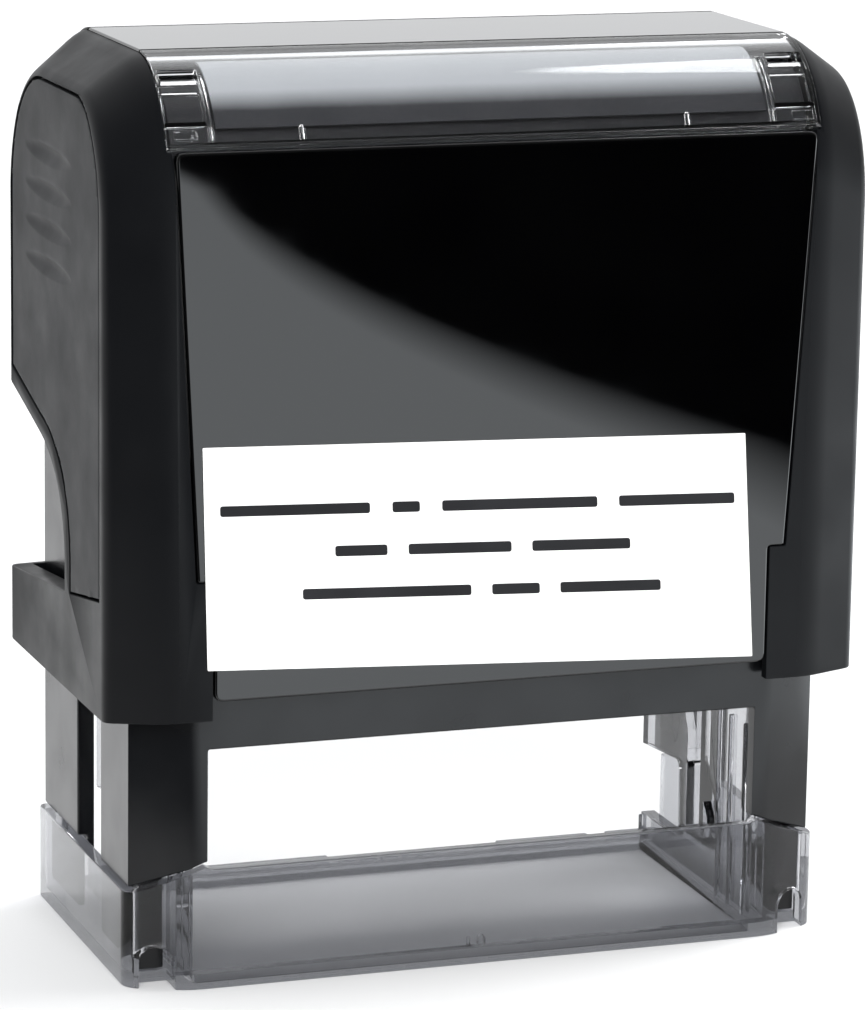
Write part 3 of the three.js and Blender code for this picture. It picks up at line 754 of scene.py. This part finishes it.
def print_line(row, v, start, end, words):
    """One line of bars; the gaps between them count as BAR_GAP in the relative lengths."""
    unit = (end - start) / (sum(words) + BAR_GAP * (len(words) - 1))
    heights = (v - BAR_HALF, v + BAR_HALF)
    face = LABEL_Y - LABEL_THICKNESS
    u = start
    for i, length in enumerate(words):
        ends = (u, u + length * unit)
        name = f"printed_bar_{row}_{i}"
        bar = label_patch(name, ends, heights, face, BAR_THICKNESS, print_ink, BAR_CORNER)
        place(bar, "handle", "white_card")
        u += (length + BAR_GAP) * unit


label = label_patch(
    "imprint_label_sheet", (0, 1), (0, 1), LABEL_Y, LABEL_THICKNESS, card_white, LABEL_CORNER
)
place(finish_edges(label, 0.03, 2), "handle", "white_card", "imprint_label")
for row, line in enumerate(LINES):
    print_line(row, *line)

# ---------------------------------------------------------------- lower parts

# Outlines of the clear base as half width, half depth, and where its front facets start.
BASE_OUTSIDE = (37.3, 18.05, 31.4, 15.3)
BASE_INSIDE = (35.9, 16.65, 30.9, 14.6)
OUTSIDE_CORNERS = [1.0, 1.0, 1.4, 1.8, 1.8, 1.4]
INSIDE_CORNERS = [0.5, 0.5, 0.8, 1.0, 1.0, 0.8]
SIDE_HEIGHT, FRONT_HEIGHT, SHOULDER_HEIGHT = 9.9, 12.3, 12.65
BLANK_HEIGHT, ABOVE_BASE, PAST_BASE = 13.3, 15.3, 38.3
FLANGE_TOP = 1.2
FLANGE_STRIPS = [(-20.0, -5.3), (14.2, 24.8), (-33.8, -22.0), (27.0, 33.8)]
FLANGE_TEETH = (-4.1, -1.7, 0.7, 3.1, 4.9)
MARKER = [(-0.35, 0.3), (0.35, 0.3), (0.35, 2.3), (0, 2.8), (-0.35, 2.3)]

# Boxes as limits of x, y and z.
FLOOR_OPENING = (-30, 30, -14.85, 14.85, -1, 2)
REAR_GAP = (-33.6, 33.6, 15.65, 19, 0.9, 11)
FRONT_STRIP = (-25.4, 22.8, -16.8, -16.2, 1.0, 1.55)
MARKER_DASH = (-1.6, -1.3, -16.8, -16.3, 0.3, 2.6)

ARCH_INNER, ARCH_OUTER, ARCH_MIDDLE = 32.6, 35.9, 34.25
ARCH_STRAIGHT, ARCH_ROUND = 2.8, (1.65, 1.5)
NOTCH = [(4.5, 4.4), (15.6, 4.4), (15.6, 12.1), (4.7, 12.9)]
NOTCH_CORNERS = [1.2, 0, 0, 1.0]

END_WALL_X, END_WALL_TOP, END_WALL_HALF_DEPTH = (30.2, 31.8), 25.55, 15
SLOT_HALF, SLOT_BOTTOM = 2.3, 6.3
RIB_Y, RIB_WIDTH, RIB_BOTTOM = (-13.9, -10.1, -6.95, 14.2), 0.45, 0.2
FRONT_RIB_TOP, REAR_RIB_TOP = 21.8, 4.2
GROOVE_X, RIB_X = (30.0, 31.2), (29.75, 30.4)
AXLE_Z, STROKE, PIN_REACH, GROOVE_HALF = 33.1, 24.5, 5.0, 1.5
FOOT_X, FOOT_Y, FOOT_Z = (33.0, 35.55), (-14.5, -12.2), (1.5, 10.8)


def footprint(half_width, half_depth, facet_x, facet_y):
    """(x, y) outline with the two front corners cut off."""
    return [
        (half_width, half_depth),
        (-half_width, half_depth),
        (-half_width, -facet_y),
        (-facet_x, -half_depth),
        (facet_x, -half_depth),
        (half_width, -facet_y),
    ]


def on_side(side, near, far):
    """The same stretch of x on the side +1 or -1."""
    return sorted((side * near, side * far))


def clear_box(x0, x1, y0, y1, z0, z1):
    return box("part", x0, x1, y0, y1, z0, z1, smoky_clear)


def cam_groove(steps=28):
    """(y, z) outline of the S-shaped groove that turns the die over."""

    def centre(turn):
        angle = turn * math.pi
        pin_z = AXLE_Z - STROKE * turn - PIN_REACH * math.sin(angle)
        return Vector((PIN_REACH * math.cos(angle), pin_z))

    def round_end(at, start):
        angles = [start - math.pi * k / 8 for k in range(1, 8)]
        return [tuple(at + GROOVE_HALF * Vector((math.cos(a), math.sin(a)))) for a in angles]

    left, right = [], []
    for i in range(steps + 1):
        turn = i / steps
        along = (centre(turn + 0.01) - centre(turn - 0.01)).normalized()
        side = Vector((-along.y, along.x)) * GROOVE_HALF
        left.append(tuple(centre(turn) + side))
        right.insert(0, tuple(centre(turn) - side))
    return [*round_end(centre(0), math.pi), *left, *round_end(centre(1), 0), *right]


def base_skirt():
    """The skirt with its open floor and flange; it is highest at the front."""
    outside = rounded_polygon(footprint(*BASE_OUTSIDE), OUTSIDE_CORNERS)
    skirt = prism("clear_base_skirt", "Z", outside, 0, BLANK_HEIGHT, smoky_clear)
    inside = rounded_polygon(footprint(*BASE_INSIDE), INSIDE_CORNERS)
    slope = [(PAST_BASE, SIDE_HEIGHT), (36.7, SIDE_HEIGHT), (29.6, SHOULDER_HEIGHT), (28.8, FRONT_HEIGHT)]
    above_front = [(-x, z) for x, z in slope] + slope[::-1]
    above_front += [(PAST_BASE, ABOVE_BASE), (-PAST_BASE, ABOVE_BASE)]
    tools = [
        prism("room", "Z", inside, FLANGE_TOP, 15, smoky_clear),
        clear_box(*FLOOR_OPENING),
        prism("above front", "Y", above_front, -19.5, -14.7, smoky_clear),
        clear_box(-PAST_BASE, PAST_BASE, -14.8, 19, SIDE_HEIGHT, ABOVE_BASE),
        clear_box(*REAR_GAP),
    ]
    return boolean(skirt, tools)


def add_flange_details(skirt):
    """Strips and small teeth on the rear flange, and the strip and the middle marker on the front one."""
    added = [clear_box(a, b, 16.9, 17.8, 0.5, 1.6) for a, b in FLANGE_STRIPS]
    added += [clear_box(x, x + 1.5, 15.9, 17.6, 0.5, 1.35) for x in FLANGE_TEETH]
    added.append(clear_box(*FRONT_STRIP))
    added.append(prism("marker", "Y", MARKER, -16.8, -15.9, smoky_clear))
    added.append(clear_box(*MARKER_DASH))
    return boolean(skirt, added, "UNION")


def cut_corner_arches(skirt):
    """A small arched opening through each front corner, beside the foot of the frame."""
    top = quarter_arc(ARCH_MIDDLE, ARCH_STRAIGHT, *ARCH_ROUND, 0, 2, 14)[1:-1]
    straight = [(ARCH_INNER, -0.1), (ARCH_OUTER, -0.1), (ARCH_OUTER, ARCH_STRAIGHT)]
    arch = [*straight, *top, (ARCH_INNER, ARCH_STRAIGHT)]
    tools = []
    for side in (-1, 1):
        tools.append(prism("arch", "Y", [(side * x, z) for x, z in arch], -19, -14.2, smoky_clear))
    return boolean(skirt, tools)


def end_wall(side):
    """Clear wall with the axle's slot, the cam groove, a notch for the drawer and upright ribs."""
    a, b = on_side(side, *END_WALL_X)
    wall = clear_box(a, b, -END_WALL_HALF_DEPTH, END_WALL_HALF_DEPTH, 0, END_WALL_TOP)
    notch = rounded_polygon(NOTCH, NOTCH_CORNERS)
    tools = [
        clear_box(a - 0.5, b + 0.5, -SLOT_HALF, SLOT_HALF, SLOT_BOTTOM, 27),
        prism("groove", "X", cam_groove(), *on_side(side, *GROOVE_X), smoky_clear),
        prism("notch", "X", notch, a - 0.5, b + 0.5, smoky_clear),
    ]
    boolean(wall, tools)
    ribs = []
    for y in RIB_Y:
        top = FRONT_RIB_TOP if y < 0 else REAR_RIB_TOP
        ribs.append(clear_box(*on_side(side, *RIB_X), y, y + RIB_WIDTH, RIB_BOTTOM, top))
    return boolean(wall, ribs, "UNION")


def make_clear_base():
    skirt = base_skirt()
    add_flange_details(skirt)
    cut_corner_arches(skirt)
    for side in (1, -1):
        boolean(skirt, [end_wall(side)], "UNION")
    clean(skirt)
    return finish_edges(skirt, 0.12, 2, 34)


def make_frame():
    """The CAD node's shape with feet in the clear corners."""
    shell = cad_shape("lower_frame_shell", "lower_frame", frame_black)
    feet = [box("foot", *on_side(side, *FOOT_X), *FOOT_Y, *FOOT_Z, frame_black) for side in (1, -1)]
    boolean(shell, feet, "UNION")
    clean(shell)
    return finish_edges(shell, 0.2, 3)


place(make_frame(), "base", "frame_black", "lower_frame")
place(make_clear_base(), "base", "smoky_clear", "clear_base")
refined("pad_drawer_tray", "pad_tray", "pad_drawer", "frame_black", frame_black, 0.25)
refined("ink_pad_felt", "ink_pad", "pad_drawer", "ink_felt", ink_felt, 0.3)
refined("handle_yoke", "yoke", "handle", "satin_black", inner_black, 0.2)
refined("die_holder_block", "die_holder", "die", "satin_black", inner_black, 0.3)
refined("die_cushion_sheet", "die_cushion", "die", "foam", foam_grey, 0.15)
refined("text_plate_rubber", "text_plate", "die", "plate_rubber", plate_rubber, 0.12)

for side in ("right", "left"):
    for pin in ("axle_pin", "cam_pin"):
        refined(f"{pin}_turned_{side}", f"{pin}_{side}", "die", "steel", steel, 0.12)


SPRING_LOW, SPRING_HIGH = 54.42, 86.15
SPRING_RADIUS, WIRE_RADIUS = 5.6, 0.42
SPRING_TURNS, CLOSED_TURNS, CLOSED_PITCH = 7.5, 1.0, 2.2 * WIRE_RADIUS
STEPS_PER_TURN = 48


def spring_path():
    """Middle line of the wire, with one closed turn at each end."""
    count = int(SPRING_TURNS * STEPS_PER_TURN)
    open_rise = SPRING_HIGH - SPRING_LOW - 2 * WIRE_RADIUS - 2 * CLOSED_PITCH * CLOSED_TURNS
    path = []
    for i in range(count + 1):
        turn = SPRING_TURNS * i / count
        rise = min(max((turn - CLOSED_TURNS) / (SPRING_TURNS - 2 * CLOSED_TURNS), 0), 1)
        last_turn = max(turn - (SPRING_TURNS - CLOSED_TURNS), 0)
        closed_rise = CLOSED_PITCH * (min(turn, CLOSED_TURNS) + last_turn)
        angle = 2 * math.pi * turn
        x, y = SPRING_RADIUS * math.cos(angle), SPRING_RADIUS * math.sin(angle)
        path.append(Vector((x, y, SPRING_LOW + WIRE_RADIUS + closed_rise + open_rise * rise)))
    return path


def make_spring(sides=12):
    """Round wire along the spring's path."""
    path = spring_path()
    count = len(path) - 1
    vertices, faces = [], []
    for i, centre in enumerate(path):
        ahead = path[min(i + 1, count)] - path[max(i - 1, 0)]
        along = ahead.normalized()
        outward = Vector((centre.x, centre.y, 0)).normalized()
        upward = along.cross(outward).normalized()
        for s in range(sides):
            a = 2 * math.pi * s / sides
            vertices.append(tuple(centre + WIRE_RADIUS * (math.cos(a) * outward + math.sin(a) * upward)))
    for i in range(count):
        for s in range(sides):
            a, b = i * sides + s, i * sides + (s + 1) % sides
            faces.append((a, b, b + sides, a + sides))
    faces += [tuple(range(sides)), tuple(range(count * sides, (count + 1) * sides))]
    spring = face_outwards(mesh_object("return_spring_coil", vertices, faces, steel))
    return finish_edges(spring, 0)


spring = place(make_spring(), "base", "steel", "return_spring")
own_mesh(spring)

# ---------------------------------------------------------------- stage, lights and camera


def stage_plane(name, corners, material):
    """A flat sheet that belongs to the stage and not to the stamp."""
    obj = mesh_object(name, corners, [tuple(range(len(corners)))], material)
    return obj


FLOOR = 6000


def make_floor():
    n = Nodes("pale_floor")
    n.link(n.colours(n.noise(3, 3), (0.80, 0.805, 0.81), (0.84, 0.84, 0.84)), n.shader.inputs["Base Color"])
    n.link(n.ramp(n.noise(40, 3), 0.62, 0.75), n.shader.inputs["Roughness"])
    n.set(Specular_IOR_Level=0.2)
    corners = [(FLOOR * x, FLOOR * y, 0) for x, y in ((-1, -1), (1, -1), (1, 1), (-1, 1))]
    stage_plane("floor", corners, n.material)


make_floor()

# The reflection card's bright part ends at x = CARD_EDGE. That edge bends outwards on both sides of
# CARD_NEAREST_Y, by CARD_EDGE_REACH at most.
CARD_EDGE, CARD_EDGE_REACH = 109, 12.5
CARD_NEAREST_Y, CARD_CURVE = -390, 0.7
CARD_SOFTNESS = (3, 13)
SOFTNESS_Y = (-500, -240)
CARD_BRIGHT, SIDE_BRIGHT = 2.75, 5.0
LEFT_FADE_X = (-50, 5)
SIDE_FADE_X, SIDE_FADE_Y = (110, 140), (-200, -150)
CARD_FAR, CARD_REAR, CARD_NOTCH_X, CARD_NOTCH_Y, CARD_Z = 1500, 120, 112, -60, 0.4


def metres(lengths):
    return [length * MM for length in lengths]


def reflection_card():
    """A sheet on the floor in front that only mirrors see: bright in the middle, dark on both sides."""
    n = Nodes("reflection_card")
    split = n.add("ShaderNodeSeparateXYZ")
    n.link(n.place, split.inputs["Vector"])
    x, y = split.outputs["X"], split.outputs["Y"]
    softness = n.ramp(y, *metres(CARD_SOFTNESS), *metres(SOFTNESS_Y))
    away = n.math("ADD", y, -CARD_NEAREST_Y * MM)
    curve = n.math("MULTIPLY", n.math("MULTIPLY", away, away), CARD_CURVE)
    farthest = (CARD_EDGE + CARD_EDGE_REACH) * MM
    limit = n.math("MINIMUM", n.math("ADD", curve, CARD_EDGE * MM), farthest)
    edge = n.math("DIVIDE", n.math("SUBTRACT", limit, x), softness)
    bright = n.ramp(edge, 0.0, CARD_BRIGHT, -1.0, 1.0)
    left = n.ramp(x, 0.02, 1.0, *metres(LEFT_FADE_X))
    side = n.ramp(y, 0.0, SIDE_BRIGHT, *metres(SIDE_FADE_Y))
    near_right = n.math("MULTIPLY", side, n.ramp(x, 0.0, 1.0, *metres(SIDE_FADE_X)))
    glow = n.add("ShaderNodeEmission", Color=(0.92, 0.965, 1.0, 1))
    n.link(n.math("ADD", n.math("MULTIPLY", bright, left), near_right), glow.inputs["Strength"])
    output = next(node for node in n.tree.nodes if node.type == "OUTPUT_MATERIAL")
    n.link(glow.outputs["Emission"], output.inputs["Surface"])
    outline = [
        (-CARD_FAR, -CARD_FAR),
        (CARD_FAR, -CARD_FAR),
        (CARD_FAR, CARD_REAR),
        (CARD_NOTCH_X, CARD_REAR),
        (CARD_NOTCH_X, CARD_NOTCH_Y),
        (-CARD_FAR, CARD_NOTCH_Y),
    ]
    card = stage_plane("reflection_card", [(across, along, CARD_Z) for across, along in outline], n.material)
    card.visible_camera = card.visible_diffuse = card.visible_transmission = card.visible_shadow = False


reflection_card()

SKY_COLOUR = (0.975, 0.985, 1.0, 1)
SKY_FRONT, SKY_BACK = 0.10, 1.22  # brightness towards the front and towards the back
SKY_BLEND = 0.6


def make_world():
    """Sky that is dark on the camera's side, which the panel mirrors, and bright behind the stamp."""
    world = bpy.data.worlds.new("studio")
    bpy.context.scene.world = world
    world.use_nodes = True
    nodes, links = world.node_tree.nodes, world.node_tree.links
    toward = nodes.new("ShaderNodeSeparateXYZ")
    links.new(nodes.new("ShaderNodeTexCoord").outputs["Generated"], toward.inputs["Vector"])
    level = nodes.new("ShaderNodeMapRange")
    level.interpolation_type = "SMOOTHSTEP"
    level.inputs["From Min"].default_value = -SKY_BLEND
    level.inputs["From Max"].default_value = SKY_BLEND
    level.inputs["To Min"].default_value = SKY_FRONT
    level.inputs["To Max"].default_value = SKY_BACK
    links.new(toward.outputs["Y"], level.inputs["Value"])
    links.new(level.outputs["Result"], nodes["Background"].inputs["Strength"])
    nodes["Background"].inputs["Color"].default_value = SKY_COLOUR


def add_lamp(data, direction):
    """A lamp that shines along direction; mirrors don't show it."""
    lamp = bpy.data.objects.new(data.name, data)
    bpy.context.scene.collection.objects.link(lamp)
    lamp.rotation_mode = "QUATERNION"
    lamp.rotation_quaternion = direction.to_track_quat("-Z", "Y")
    lamp.visible_glossy = False
    return lamp


FILL_AT, FILL_TARGET = Vector((-300, -1000, 700)), Vector((0, 0, 40))
FILL_WIDTH, FILL_HEIGHT, FILL_POWER = 900, 700, 20
SUN_DIRECTION = Vector((-0.62, -0.12, -0.78))
SUN_STRENGTH, SUN_SPREAD = 2.4, 35


def make_lamps():
    fill = bpy.data.lights.new("front_fill", "AREA")
    fill.shape = "RECTANGLE"
    fill.size, fill.size_y = FILL_WIDTH * MM, FILL_HEIGHT * MM
    fill.energy = FILL_POWER
    add_lamp(fill, FILL_TARGET - FILL_AT).location = FILL_AT * MM
    sun = bpy.data.lights.new("soft_key", "SUN")
    sun.energy = SUN_STRENGTH
    sun.angle = math.radians(SUN_SPREAD)
    add_lamp(sun, SUN_DIRECTION)


CAMERA_AT = Vector((-160.2, -450.9, 149.5))
YAW, PITCH, ROLL = math.radians(19.56), math.radians(12.45), math.radians(0.86)
SENSOR, LENS = 36, 169.2


def make_camera():
    """Camera fitted to the photo: turned by yaw, then pitch, then roll."""
    data = bpy.data.cameras.new("camera")
    data.sensor_width = SENSOR
    data.lens = LENS
    data.clip_start, data.clip_end = 0.01, 50
    camera = bpy.data.objects.new("camera", data)
    bpy.context.scene.collection.objects.link(camera)
    forward = Vector((math.sin(YAW), math.cos(YAW), 0))
    right = Vector((math.cos(YAW), -math.sin(YAW), 0))
    up = Vector((0, 0, 1))
    look = forward * math.cos(PITCH) - up * math.sin(PITCH)
    lift = up * math.cos(PITCH) + forward * math.sin(PITCH)
    camera_x = right * math.cos(ROLL) + lift * math.sin(ROLL)
    camera_y = lift * math.cos(ROLL) - right * math.sin(ROLL)
    turn = Matrix((camera_x, camera_y, -look)).transposed()
    camera.matrix_world = Matrix.Translation(CAMERA_AT * MM) @ turn.to_4x4()
    bpy.context.scene.camera = camera


make_world()
make_lamps()
make_camera()
bpy.context.scene.view_settings.view_transform = "Standard"
